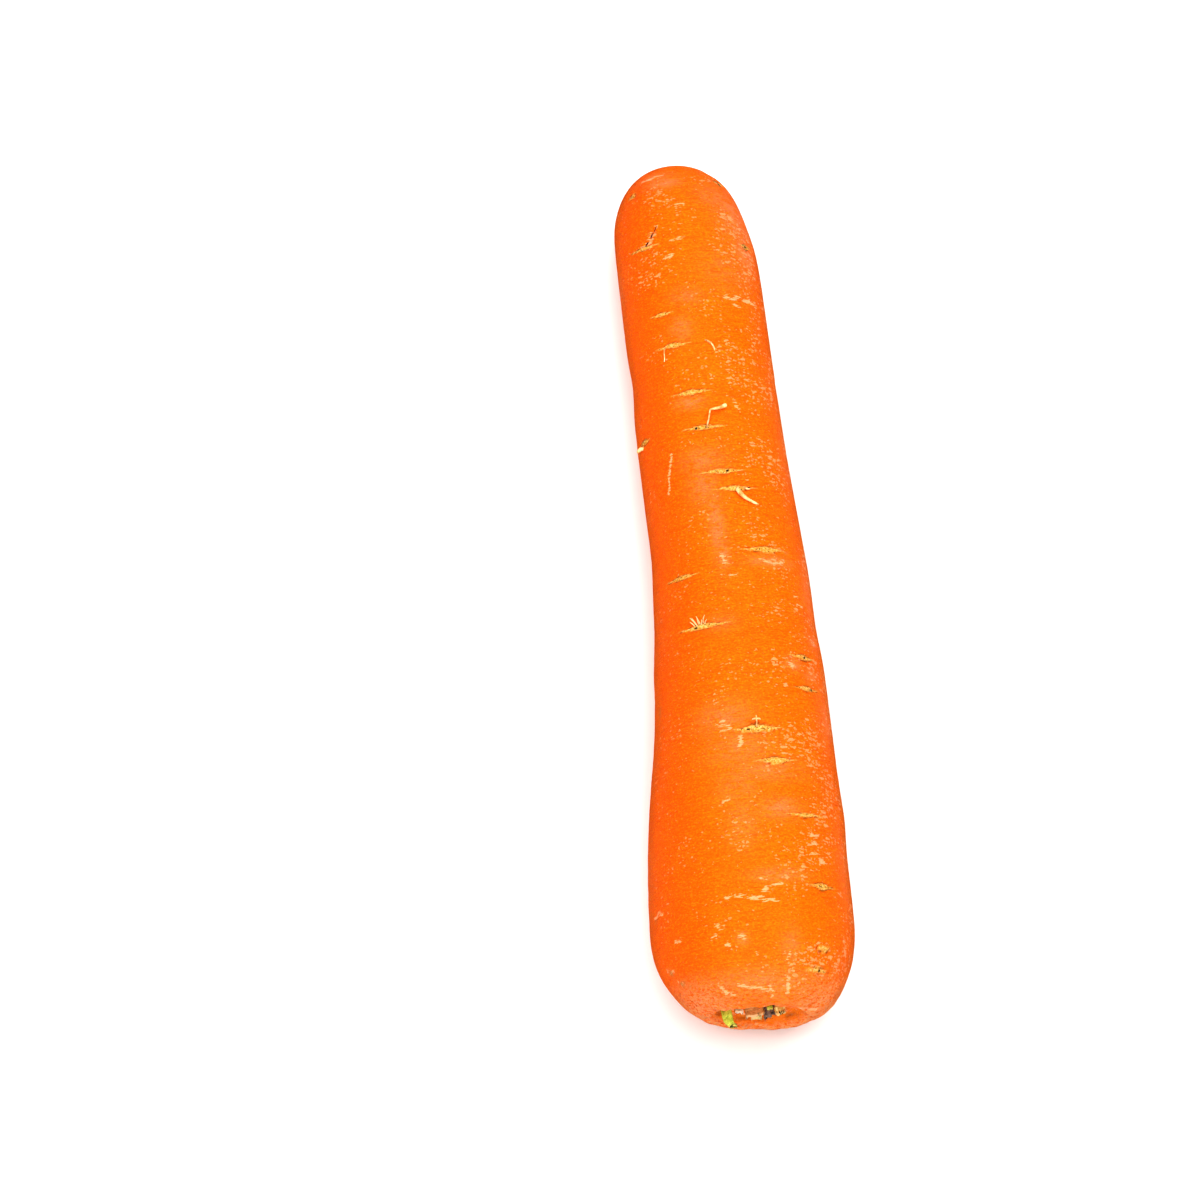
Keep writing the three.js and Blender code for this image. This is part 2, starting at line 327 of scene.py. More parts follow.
def sculpt_scar(t, turn, half_turn, width, pits=()):
    """Sinks one lens into the relief and paints it."""
    along = (skin_turn - turn) / half_turn
    near = (np.abs(skin_t - t) < 6) & (np.abs(along) < 1.4) & ~in_hollow
    spot, along = straight[near], along[near]
    wobble = 0.14 * noise_at(spot, (2.2, 40, 2.2), t)
    taper = 0.3 * np.clip(1 - along**2, 0, 1) + 0.7 * bell(along, 0.5)
    half_width = np.maximum(0.42 * width * taper, 0.13) * (1 + 0.3 * noise_at(spot, (0.9, 9, 0.9), t + 1))
    offset = skin_t[near] - t - wobble
    across = np.abs(offset) / half_width
    ends = fade(0.72, 1.0, np.abs(along))
    inside = fade(0.8, 1.25, across) * ends
    edge = bell(across - 1.2, 0.32) * ends
    dip = bell(offset, 1.7) * fade(0.5, 1.3, np.abs(along))
    cork = 0.07 + 0.06 * noise_at(spot, (0.7, 0.5, 0.7), t + 2)
    relief[near] += cork * inside - 0.17 * edge - 0.13 * dip
    scar_paint[near] = np.maximum(scar_paint[near], inside)
    scar_edge_and_shade_paint[near] = np.maximum(scar_edge_and_shade_paint[near], edge)
    for share in pits:
        sideways = np.radians(skin_turn[near] - turn - share * half_turn) * radius_at(t)
        pit = np.exp(-((sideways / 0.4) ** 2) - ((offset - 0.1 * share) / 0.32) ** 2)
        relief[near] -= 0.3 * pit
        fleck_paint[near] = np.maximum(fleck_paint[near], pit)


for scar in SCARS:
    sculpt_scar(*scar)
print("scarred vertices:", int((scar_paint > 0.5).sum()))

# %% [markdown]
# ## Rubs, scratches and dry patches
#
# Carrots rub against each other in the sack. A rub lifts the thin skin, which dries to a pale
# peach line or patch, usually crossways. The larger ones are drawn as strokes and soft ovals, and
# the small ones are left to the material. A stroke is a distance to a short line on the straight
# root, so it works over the crown too. Ovals also shape the flanks, which aren't even.

# %% Strokes and patches
def straight_place(t, turn):
    """A place on the skin, on the straight root."""
    radius, angle = float(radius_at(t)), math.radians(turn)
    return np.array([radius * math.sin(angle), t, radius * math.cos(angle)])


def crown_place(radius, turn):
    """A place on the crown's face, radius mm from the hollow's middle, on the straight root."""
    angle = math.radians(turn)
    depth = float(hollow_at(min(1.0, radius / RIM_RADIUS))) * HOLLOW_DEPTH
    return np.array([radius * math.sin(angle), depth, radius * math.cos(angle)])


def distance_to_line(places):
    """Distance of every vertex to a line through places, on the straight root, in mm."""
    nearest = np.full(len(straight), np.inf)
    for start, end in zip(places, places[1:]):
        run = end - start
        share = np.clip((straight - start) @ run / (run @ run), 0, 1)
        nearest = np.minimum(nearest, np.linalg.norm(straight - start - share[:, None] * run, axis=1))
    return nearest


def patch(t, turn, half_length, half_width):
    """A soft oval, 1 in its middle, half_length mm along the root and half_width mm round it."""
    away = straight - straight_place(t, turn)
    round_it = np.hypot(away[:, 0], away[:, 2])
    return np.exp(-((away[:, 1] / half_length) ** 2) - (round_it / half_width) ** 2)


# Each rub: its width in millimetres, how pale it is, and the (t, turn) that it runs through.
RUBS = [
    (0.36, 0.85, [(119.5, -37), (116, -41), (111, -44)]), (0.5, 0.5, [(131, 15), (129.5, 19), (127.5, 22)]),
    (0.4, 0.5, [(143.5, 3), (142.8, 7), (141.2, 9)]), (0.5, 0.8, [(153.6, 22), (153.4, 30), (153.8, 36)]),
    (0.5, 0.8, [(153, 40), (153.6, 47), (152.8, 55)]), (0.4, 0.6, [(151.8, 30), (151.6, 36)]),
    (0.5, 0.6, [(167.2, -14), (167.6, -4)]), (0.6, 0.85, [(163.4, -21), (163.8, -15)]),
    (0.5, 0.7, [(175.5, -6), (175.8, 1)]), (0.4, 0.6, [(177.2, -12), (177.6, -6)]),
    (0.5, 0.9, [(184.2, -40), (184.5, -28), (184.9, -15)]), (0.45, 0.8, [(57.4, -18), (57.2, -10)]),
    (0.4, 0.7, [(58.6, -16), (58.3, -12)]), (0.4, 0.6, [(56.2, -15), (56.4, -9)]),
    (0.6, 0.85, [(54.4, -3), (53.2, -2.5), (52.4, -4)]), (0.5, 0.9, [(32.9, 36), (32.8, 41)]),
    (0.5, 0.8, [(31.4, 36), (31.3, 40)]), (0.4, 0.7, [(29.3, 35), (29.1, 40)]),
    (0.8, 0.9, [(27.9, 41), (27.4, 44)]),
    (0.42, 0.8, [(20.6, -17), (20.8, -12), (20.1, -5), (19.6, 3), (19.3, 9)]),
    (0.32, 0.8, [(19.2, 4), (19, 12)]), (0.32, 0.75, [(20.9, 4), (20.8, 11)]),
    (0.4, 0.8, [(21.8, 5), (22.4, 12), (22.6, 15)]), (0.4, 0.6, [(23.8, 3), (23.6, 7)]),
    (0.7, 0.65, [(12.3, -9.5), (12.1, -8)]), (0.5, 0.7, [(11.2, -20), (10.6, -16)]),
    (0.6, 0.7, [(15, -23), (14.4, -19)]), (0.5, 0.5, [(13.2, -27), (12.6, -23)]),
    (0.55, 0.8, [(4.4, 18.5), (3.2, 19), (1.8, 20.5)]), (0.5, 0.45, [(9, 18), (7.6, 17)]),
    (0.5, 0.7, [(3.2, -30), (1.9, -27), (1.8, -22)]),
    (0.5, 0.7, [(3.4, -16), (2.7, -9), (2.9, -2), (2.1, 5)]), (0.4, 0.7, [(3, 6), (1.8, 9), (0.9, 8)]),
    (0.5, 0.85, [(20.3, -72), (20.8, -67), (20.6, -61)]), (0.45, 0.8, [(8.9, -71), (8.5, -67), (8.6, -63)]),
    (0.4, 0.7, [(5.9, -65), (5.2, -60)]), (0.4, 0.6, [(13.8, -52), (13.4, -47)]),
    (0.5, 0.5, [(75.4, -47), (75.2, -45)]), (0.7, 0.8, [(70.6, 33), (70.1, 35)]),
    (0.6, 0.8, [(77.6, 56), (76.4, 62)]), (0.6, 0.7, [(95, -7), (93.4, -5.5)]),
    (0.4, 0.6, [(90.5, -3), (90.2, 4)]), (0.5, 0.7, [(93.8, 20), (93.2, 30), (93.6, 40)]),
    (0.4, 0.6, [(84.6, 47), (84.2, 52)]), (0.5, 0.7, [(86.8, 45), (86.4, 49)]),
    (0.5, 0.6, [(40.5, -16), (41.3, -11)]), (0.5, 0.6, [(142, 100), (140, 108)]),
    (0.5, 0.7, [(112, -95), (108, -99)]), (0.6, 0.7, [(76, 130), (75.2, 138)]),
    (0.5, 0.7, [(52, -140), (50.5, -131), (51, -124)]), (0.5, 0.7, [(34, 132), (35, 140)]),
    (0.5, 0.6, [(150, -150), (149, -140)]), (0.5, 0.6, [(176, 150), (177, 165)]),
]
# Each dry patch: t, turn, half length, half width, strength. The long narrow one at t 102, turn -8 is a
# painted highlight, a lengthwise streak of light down the top.
PATCHES = [
    (130.2, -16, 1.4, 2.8, 0.9), (117, -12, 2.6, 4.5, 0.6), (111, -14, 4, 3, 0.6), (102, -8, 8, 1.7, 0.75),
    (94.8, -6, 2.2, 1.2, 1), (93.5, 28, 1.2, 5, 0.75), (147, -15, 2.6, 2.2, 0.6), (154, -8, 2, 3, 0.55),
    (160, 32, 5, 6, 0.35), (174, 50, 7, 5, 0.85), (178, 32, 3, 4, 0.6), (165, 52, 4, 3.5, 0.8),
    (182.3, -14, 1.6, 3.5, 0.85), (184.6, -28, 1.2, 4, 0.6), (59, -12, 3.5, 5.5, 0.6), (52, -4, 4, 6, 0.5),
    (47, 12, 2.5, 7, 0.55), (44, -6, 4, 4, 0.4), (38.5, 18, 2.2, 4, 0.75), (36, -4, 5, 3, 0.4),
    (80, -12, 2, 3, 0.4), (70.5, 36, 1.5, 1.8, 0.8), (76.8, 62, 1.6, 2.2, 0.9), (68.5, 52, 1.6, 2, 0.7),
    (24.5, 14, 1.4, 5, 0.7), (10, 19, 4, 2, 0.5), (4, 0, 2, 9, 0.5), (12, -9, 1.2, 1.2, 0.8),
    (60, 64, 6, 3, 0.5), (88, 66, 8, 3, 0.45), (120, 70, 9, 3, 0.35), (28, 66, 8, 3, 0.4),
    (150, 130, 9, 6, 0.6), (96, 150, 7, 8, 0.5), (40, 110, 8, 7, 0.5), (120, -120, 10, 5, 0.6),
    (72, -130, 8, 7, 0.5), (30, -90, 7, 5, 0.5), (160, -95, 7, 5, 0.5), (20, 160, 8, 9, 0.5),
]
BROWN_SPOTS = [(5.6, -62, 0.8, 1.6, 0.95), (8.2, -68, 0.8, 1.0, 0.9), (4.6, -54, 0.5, 1.8, 0.7),
               (19.9, -71, 0.9, 0.8, 0.6), (166.2, 52, 0.6, 0.9, 0.5), (64.7, -69, 1.2, 0.8, 0.5),
               (95.9, 44, 0.35, 0.6, 0.9), (70.2, 53, 0.5, 0.6, 0.5), (14, 120, 1.2, 1.2, 0.7),
               (100, -95, 0.7, 1.0, 0.6), (186.5, 60, 0.8, 1.6, 0.8), (183.5, 47, 0.5, 1.0, 0.7)]

rub_paint = EMPTY.copy()
for width, strength, places in RUBS:
    away = distance_to_line([straight_place(*place) for place in places])
    mark = fade(width * 0.35, width * 1.05, away) * strength
    rub_paint = np.maximum(rub_paint, mark)
relief += 0.05 * rub_paint * noise_at(straight, 0.6, 6)

dry_and_highlight_paint = np.max([strength * patch(*oval) for *oval, strength in PATCHES], axis=0)
brown_paint = np.max([strength * patch(*oval) for *oval, strength in BROWN_SPOTS], axis=0)
relief -= 0.18 * brown_paint

# Slow hollows and swellings of the flanks: t, turn, half length, half width, height in mm.
FLANKS = [(62, -88, 13, 13, -0.9), (82, -88, 6, 12, -0.2), (102, -88, 11, 13, -0.52), (140, -88, 6, 12, -0.6),
          (176, 85, 6, 12, -0.65), (82, 88, 6, 12, -0.3), (40, 88, 6, 12, 0.35), (4, -105, 6, 10, -0.6)]
for *oval, height in FLANKS:
    relief += height * patch(*oval)

# %% Crack beside the scar nearest the tip
CRACKS = [[(171.2, -25), (170.6, -27)], [(169.9, -29), (169.4, -30.5), (168.8, -32)],
          [(168.4, -34), (167.5, -38)]]
TORN_SKIN = [(0.8, [(169.6, -29.5), (167.6, -34)]), (0.7, [(167.3, -40), (167.2, -33)]),
             (0.4, [(171.4, -24), (170.8, -26)])]
for places in CRACKS:
    away = distance_to_line([straight_place(*place) for place in places])
    crack = fade(0.1, 0.36, away)
    relief -= 0.25 * crack
    fleck_paint = np.maximum(fleck_paint, 0.75 * crack)
for width, places in TORN_SKIN:
    away = distance_to_line([straight_place(*place) for place in places])
    rub_paint = np.maximum(rub_paint, 0.8 * bell(away, width))
print("rubbed vertices:", int((rub_paint > 0.5).sum()), " dry:", int((dry_and_highlight_paint > 0.4).sum()))

# %% [markdown]
# ## The crown
#
# The top of the root is a shallow hollow with a rounded rim, where the leaves grew in a rosette.
# The rim's skin is drawn into many small radial and ringed crinkles, and it is paler than the
# root. The hollow's floor is bumpy with the traces of old leaf bases round a small growing point.

# %% Sculpting the crown
face_turn = np.radians(skin_turn)
polar = np.stack([3.2 * np.sin(face_turn), 3.2 * np.cos(face_turn), skin_radius / 5], -1)
rings = np.stack([skin_radius / 0.75, 1.6 * np.sin(face_turn), 1.6 * np.cos(face_turn)], -1)
on_rim = bell(skin_radius - RIM_RADIUS - 0.8, 2.6) * (skin_t < HOLLOW_DEPTH + 2)
on_shoulder = fade(2, 14, skin_t) * ~in_hollow
sideways_share = 0.35 + 0.65 * smooth_step(15, 60, np.abs(skin_turn))
shoulder_front = fade(1, 8, skin_t) * sideways_share * ~in_hollow
folds = 0.42 * noise_at(polar, 1, 7) + 0.2 * noise_at(polar * 2.4, 1, 8)
relief += on_rim * (folds + 0.2 * noise_at(rings, 1, 9) + 0.12 * noise_at(straight, 0.9, 10))
relief += on_shoulder * (0.12 * noise_at(straight, (3.5, 1.5, 3.5), 11) + 0.25 * noise_at(straight, 7, 12))
floor_share = in_hollow * fade(6.5, 8.8, skin_radius)
relief += floor_share * (0.4 * noise_at(straight, 2.2, 13) + 0.16 * noise_at(straight, 0.8, 14))
for ring_radius, ring_height in [(7.6, 0.25), (6.1, 0.35), (3.9, 0.45), (1.9, 0.5)]:
    bend = ring_radius + 0.5 * noise_at(polar, 1, ring_radius + 20)
    shown = in_hollow * smooth_step(-0.2, 0.4, noise_at(polar, 1, ring_radius))
    ring = shown * bell(skin_radius - bend, 0.4)
    gap = shown * bell(skin_radius - bend - 0.7, 0.3)
    relief += ring_height * ring - 0.15 * gap
    rub_paint = np.maximum(rub_paint, 0.55 * ring)
    scar_edge_and_shade_paint = np.maximum(scar_edge_and_shade_paint, 0.6 * gap)
relief += in_hollow * 0.9 * bell(skin_radius, 1.1)

# The crease on the right of the hollow, and the broken end of the tail at the tip.
crease_away = distance_to_line([crown_place(8.9, 40), crown_place(10.4, 50), crown_place(12.4, 66)])
relief -= 0.35 * bell(crease_away, 0.3)
rub_paint = np.maximum(rub_paint, 0.8 * bell(crease_away - 0.35, 0.3))
lip_away = distance_to_line([crown_place(9.7, turn) for turn in (-32, -20, -8, 4, 16, 28)])
rub_paint = np.maximum(rub_paint, 0.85 * bell(lip_away, 0.4))
# Painted shade: the middle of the hollow, round the feet of the stalks, is painted dark brown.
hollow_core_shade = in_hollow * bell(skin_radius, 3.4)
scar_edge_and_shade_paint = np.maximum(scar_edge_and_shade_paint, 0.75 * hollow_core_shade)
tail_away = np.linalg.norm(straight - np.array([0, LENGTH, 0]), axis=1)
relief += 0.55 * bell(tail_away, 1.5) - 0.35 * bell(tail_away - 2.6, 0.8)
tail_paint = fade(0.9, 2.2, tail_away + 0.5 * noise_at(straight, 1.1, 15))
print("rim vertices:", int((on_rim > 0.5).sum()))

# %% Moving the vertices and painting the masks
pressed = coordinates(root_mesh)
sculpted = pressed + normals(root_mesh) * relief[:, None]
sculpted[:, 2] = np.maximum(sculpted[:, 2], 0)
set_coordinates(root_mesh, in_frame(sculpted))
root_mesh.polygons.foreach_set("use_smooth", [True] * len(root_mesh.polygons))

dusty_side = smooth_step(-20, 55, skin_turn) * fade(110, 170, skin_turn)
dusty_tip = 0.75 * smooth_step(142, 166, skin_t)
dusty_crown = 0.5 * fade(22, 62, skin_t) * smooth_step(-60, 0, skin_turn)
dusty_ends = np.maximum(dusty_tip, dusty_crown) * (0.7 + 0.3 * noise_at(straight, 12, 16))
MASKS = {
    "scar": scar_paint, "scar_edge_and_shade": scar_edge_and_shade_paint, "fleck": fleck_paint,
    "rub": rub_paint, "dry_and_highlight": dry_and_highlight_paint,
    "brown": np.maximum(brown_paint, tail_paint),
    "hollow": in_hollow * fade(8.2, 9.6, skin_radius),
    "crown": np.maximum(on_rim * sideways_share, 0.8 * shoulder_front + 0.05 * on_shoulder),
    # Painted shade: the left flank, on the side away from the light, is painted deeper red-orange.
    "painted_shade_side": fade(-44, -14, skin_turn) * smooth_step(-150, -110, skin_turn),
    "speckled": np.maximum(dusty_side, dusty_ends),
}
for name, values in MASKS.items():
    paint(root_mesh, name, values)

root_piece = placed("carrot_root", root_mesh)
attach(root_piece, "root")
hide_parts("taproot")
low, high = coordinates(root_mesh).min(0), coordinates(root_mesh).max(0)
print("root spans", ((high - low) / MM).round(1), "mm; solid", ((cad_high - cad_low) / MM))

# %% [markdown]
# ## Building materials from nodes
#
# Every finish here is worked out from where a point is, never from an image, so it goes all the
# way round. A few short helpers keep the node code readable: each adds one kind of node, to the
# node tree of the sockets it is given, and gives back the socket that the next one reads. Colours
# are hexadecimal codes, turned into the linear values that the shader works in.

# %% Node helpers
def paint_colour(code):
    """A linear colour from a code such as F26A12."""
    shares = [int(code[i:i + 2], 16) / 255 for i in (0, 2, 4)]
    linear = [s / 12.92 if s <= 0.04045 else ((s + 0.055) / 1.055) ** 2.4 for s in shares]
    return (*linear, 1.0)


def set_inputs(node, inputs):
    """Links each input of a node from a socket, or sets it to a value."""
    for key, value in dict(inputs).items():
        if isinstance(value, bpy.types.NodeSocket):
            node.id_data.links.new(value, node.inputs[key])
        else:
            node.inputs[key].default_value = value


def add_node(tree, kind, inputs=(), **settings):
    """A new node with its settings and its inputs."""
    made = tree.nodes.new(kind)
    for name, value in settings.items():
        setattr(made, name, value)
    set_inputs(made, inputs)
    return made


def maths(operation, first, second, clamp=False):
    settings = {"operation": operation, "use_clamp": clamp}
    return add_node(first.id_data, "ShaderNodeMath", {0: first, 1: second}, **settings).outputs[0]


def product(first, second):
    return maths("MULTIPLY", first, second)


def total(first, second):
    return maths("ADD", first, second)


def ramp(value, low, high, to_low=0.0, to_high=1.0):
    """Takes value from low..high to to_low..to_high, smoothly, and no further."""
    inputs = {"Value": value, "From Min": low, "From Max": high, "To Min": to_low, "To Max": to_high}
    return add_node(value.id_data, "ShaderNodeMapRange", inputs, interpolation_type="SMOOTHSTEP").outputs[0]


def blend_colour(share, below, above):
    """Lays one colour over another by a share from 0 to 1."""
    inputs = {0: share, 6: below, 7: above}
    return add_node(share.id_data, "ShaderNodeMix", inputs, data_type="RGBA").outputs[2]


def layer(below, share, code, strength=1.0):
    """Lays the colour of a code over what is below it, at most as strongly as strength."""
    if strength < 1:
        share = product(share, strength)
    return blend_colour(share, below, paint_colour(code))


def stretch(vector, scale):
    """Scales coordinates, so that a pattern is finer along an axis whose scale is larger."""
    return add_node(vector.id_data, "ShaderNodeMapping", {"Vector": vector, "Scale": scale}).outputs[0]


def noise_texture(vector, scale, detail=2.0, roughness=0.5, distortion=0.0):
    inputs = {"Vector": vector, "Scale": scale, "Detail": detail, "Roughness": roughness,
              "Distortion": distortion}
    return add_node(vector.id_data, "ShaderNodeTexNoise", inputs).outputs["Fac"]


def painted(tree, name):
    """The value painted on the mesh under that name."""
    return add_node(tree, "ShaderNodeAttribute", attribute_name=name).outputs["Fac"]


def new_group(name, inputs, outputs):
    """A shader node group with named float, colour or vector sockets."""
    group = bpy.data.node_groups.new(name, "ShaderNodeTree")
    for label, kind, value in inputs:
        socket = group.interface.new_socket(label, in_out="INPUT", socket_type=kind)
        if value is not None:
            socket.default_value = value
    for label, kind in outputs:
        group.interface.new_socket(label, in_out="OUTPUT", socket_type=kind)
    return group, group.nodes.new("NodeGroupInput").outputs, group.nodes.new("NodeGroupOutput").inputs


def use_group(group, inputs):
    return add_node(inputs["Place"].id_data, "ShaderNodeGroup", inputs, node_tree=group).outputs


def new_material(name):
    """An empty material: its tree, its shader, and the Object coordinates in metres."""
    material = bpy.data.materials.new(name)
    material.use_nodes = True
    tree = material.node_tree
    shader = tree.nodes["Principled BSDF"]
    place = add_node(tree, "ShaderNodeTexCoord").outputs["Object"]
    return material, tree, shader, place


# %% [markdown]
# ## Two effects that all the plant tissue shares
#
# The outermost cells dry out in small spots: short crossways dashes on the root, and lengthwise
# ones on the stalks and side roots, so the group of dried flecks takes the stretch as an input.
# Every surface is also built of cells in rows, which the grain group shows as very fine ridges and
# a slight change of tone.

# %% Dried flecks group
FLOAT, VECTOR = "NodeSocketFloat", "NodeSocketVector"
dried_flecks, given, out = new_group(
    "dried_flecks",
    [("Place", VECTOR, None), ("Stretch", VECTOR, (1, 3, 1)), ("Per metre", FLOAT, 900),
     ("Amount", FLOAT, 0.5)],
    [("Mask", FLOAT)])
wander = add_node(dried_flecks, "ShaderNodeTexNoise", {"Vector": given["Place"], "Scale": 1300})
wander = add_node(dried_flecks, "ShaderNodeVectorMath", {0: wander.outputs["Color"], 3: 0.0009},
                  operation="SCALE").outputs[0]
moved = add_node(dried_flecks, "ShaderNodeVectorMath", {0: given["Place"], 1: wander}).outputs[0]
drawn_out = add_node(dried_flecks, "ShaderNodeVectorMath", {0: moved, 1: given["Stretch"]},
                     operation="MULTIPLY").outputs[0]
cell = add_node(dried_flecks, "ShaderNodeTexVoronoi", {"Vector": drawn_out, "Scale": given["Per metre"]})
chance = add_node(dried_flecks, "ShaderNodeSeparateColor", {0: cell.outputs["Color"]}).outputs[0]
together = ramp(noise_texture(given["Place"], 110, 2), 0.36, 0.66, 0.55, 1.3)
amount = product(given["Amount"], together)
rank = maths("SUBTRACT", total(chance, amount), 1)
size = ramp(rank, 0, 0.7, 0, 0.5)
inside = maths("SUBTRACT", size, cell.outputs["Distance"])
dried_flecks.links.new(ramp(inside, 0, 0.08), out["Mask"])

# %% Grain group
grain, given, out = new_group(
    "grain",
    [("Place", VECTOR, None), ("Stretch", VECTOR, (1, 4, 1)), ("Per metre", FLOAT, 600)],
    [("Tone", FLOAT), ("Height", FLOAT)])
drawn_out = add_node(grain, "ShaderNodeVectorMath", {0: given["Place"], 1: given["Stretch"]},
                     operation="MULTIPLY").outputs[0]
coarse = noise_texture(drawn_out, given["Per metre"], 4, 0.6)
fine_scale = product(given["Per metre"], 3.3)
fine = noise_texture(drawn_out, fine_scale, 2, 0.6)
tone = total(product(coarse, 0.6), product(fine, 0.4))
grain.links.new(ramp(tone, 0.35, 0.65), out["Tone"])
grain.links.new(tone, out["Height"])
print("groups:", [group.name for group in bpy.data.node_groups])

# %% [markdown]
# ## The root's skin
#
# The colour is built up as on the real root: bright orange flesh shows through a thin moist skin,
# deeper and redder in large soft areas, with hair-fine crossways streaks. The left flank is painted
# deeper still, as painted shade. Pale dried flecks lie on top, thicker on one side, then the dry
# patches, one of which is a painted highlight, and the rubs, then the tan cork of the scars with its
# dark outline and flecks. The crown's rim is paler and duller. The hollow's floor is painted a lighter
# orange, painted light that makes up for its shade, and darker brown at its middle, which is painted
# shade. A little light goes through the surface, as it does in any raw vegetable.

# %% Root skin material
root_skin, tree, shader, place = new_material("carrot_skin")
large = noise_texture(place, 38, 2)
middling = noise_texture(stretch(place, (1, 1.8, 1)), 210, 3, 0.6)
streaks = use_group(grain, {"Place": place, "Stretch": (1, 9, 1), "Per metre": 190})
pores = use_group(grain, {"Place": place, "Stretch": (1, 3, 1), "Per metre": 900})

colour = layer(paint_colour("EE6A02"), ramp(large, 0.35, 0.65), "F07204")
colour = layer(colour, ramp(middling, 0.35, 0.75, 0, 0.6), "F27904")
colour = layer(colour, streaks["Tone"], "F68206", 0.6)
colour = layer(colour, pores["Tone"], "DC5C01", 0.45)

# Painted shade: the left flank, away from the light, is laid over in a deeper red-orange.
colour = layer(colour, painted(tree, "painted_shade_side"), "EA5900", 0.4)
crown_share = painted(tree, "crown")
crinkles = noise_texture(place, 700, 4, 0.65, 0.6)
creases = noise_texture(stretch(place, (1, 2.6, 1.6)), 950, 4, 0.7, 0.8)
crown_pale = product(crown_share, ramp(creases, 0.41, 0.55))
crown_deep = product(crown_share, ramp(creases, 0.46, 0.36))
colour = layer(colour, crown_pale, "DCA476", 0.9)
colour = layer(colour, crown_deep, "B04C10", 0.75)
# Painted light: the hollow's floor is painted a lighter orange to make up for the shade inside it.
hollow_painted_light_share = product(painted(tree, "hollow"), ramp(crinkles, 0.3, 0.6, 0.5, 0.9))
colour = layer(colour, hollow_painted_light_share, "EE8A1C")

breaks = noise_texture(stretch(place, (1, 2.2, 1)), 520, 4, 0.65)
# Dry patches, and one painted highlight streak, in a pale pinkish peach.
dry_and_highlight_share = product(painted(tree, "dry_and_highlight"), ramp(breaks, 0.28, 0.6))
colour = layer(colour, dry_and_highlight_share, "F28A60", 0.9)

speckled = painted(tree, "speckled")
fleck_amount = ramp(speckled, 0, 1, 0.34, 0.66)
dashes = use_group(dried_flecks, {"Place": place, "Stretch": (1, 3.2, 1), "Per metre": 540,
                                  "Amount": fleck_amount})["Mask"]
dots = use_group(dried_flecks, {"Place": place, "Stretch": (1, 1.7, 1), "Per metre": 1250,
                                "Amount": total(fleck_amount, 0.12)})["Mask"]
flecks = maths("MAXIMUM", dashes, product(dots, 0.8))
flecks = product(flecks, ramp(crinkles, 0.3, 0.5, 0.4, 1))
mottling = noise_texture(stretch(place, (1, 1.6, 1)), 1900, 2, 0.7)
colour = layer(colour, ramp(mottling, 0.5, 0.7, 0, 0.7), "F68C10")
colour = layer(colour, ramp(mottling, 0.5, 0.3, 0, 0.5), "DA5600")
colour = layer(colour, flecks, "F6A470", 0.85)

strokes = noise_texture(stretch(place, (1, 4.5, 1)), 800, 3, 0.6)
rub_share = total(painted(tree, "rub"), product(maths("SUBTRACT", strokes, 0.5), 3.2))
rub_share = product(ramp(rub_share, 0.4, 0.62), ramp(painted(tree, "rub"), 0.02, 0.2))
colour = layer(colour, rub_share, "F8B284", 0.85)

cork = noise_texture(place, 2400, 3, 0.6)
scar_share = painted(tree, "scar")
cork_colour = layer(paint_colour("CC9438"), ramp(cork, 0.38, 0.66), "EEC87C")
# Dark brown for the scars' outlines and the gaps beside the leaf-base rings, and painted shade in the middle
# of the hollow.
colour = layer(colour, painted(tree, "scar_edge_and_shade"), "84480E", 0.85)
colour = blend_colour(product(scar_share, 0.92), colour, cork_colour)
brown_share = product(painted(tree, "brown"), ramp(crinkles, 0.3, 0.6))
colour = layer(colour, brown_share, "B87E44")
speck_noise = noise_texture(place, 3000, 1)
specks = product(ramp(scar_share, 0.6, 0.9), ramp(speck_noise, 0.62, 0.68))
dark = maths("MAXIMUM", ramp(painted(tree, "fleck"), 0.3, 0.7), product(specks, 0.8))
colour = layer(colour, dark, "3C2410")

rough = ramp(middling, 0.3, 0.7, 0.34, 0.44)
rough = total(rough, product(maths("MAXIMUM", dry_and_highlight_share, rub_share), 0.25))
rough = total(rough, product(scar_share, 0.3))
rough = maths("ADD", rough, product(crown_share, 0.1), clamp=True)

height = total(product(streaks["Height"], 0.6), product(pores["Height"], 0.25))
height = total(height, product(flecks, 0.1))
height = total(height, product(product(scar_share, cork), 0.4))
height = total(height, product(product(crown_share, crinkles), 0.9))
bump = add_node(tree, "ShaderNodeBump", {"Strength": 0.9, "Distance": 0.0008, "Height": height})
set_inputs(shader, {
    "Base Color": colour, "Roughness": rough, "Normal": bump.outputs[0], "Specular IOR Level": 0.065,
    "Subsurface Weight": 0.15, "Subsurface Radius": (1, 0.35, 0.1), "Subsurface Scale": 0.0012,
    "Sheen Weight": 0.04, "Sheen Roughness": 0.3, "Sheen Tint": (1, 0.62, 0.4, 1)})
root_mesh.materials.append(root_skin)
print("skin nodes:", len(tree.nodes))

# %% [markdown]
# ## Sweeping stalks and side roots
#
# A side root or a leaf stalk is a thin stem, so each is swept: a disc is set at the root's skin,
# and its face is extruded from ring to ring along the stem. Every vertex remembers its place
# round the ring, so a ring may be any outline: round for a side root, and a channelled crescent
# with ribs for a leaf stalk. Both ends are closed, and the first ring is sunk into the root.

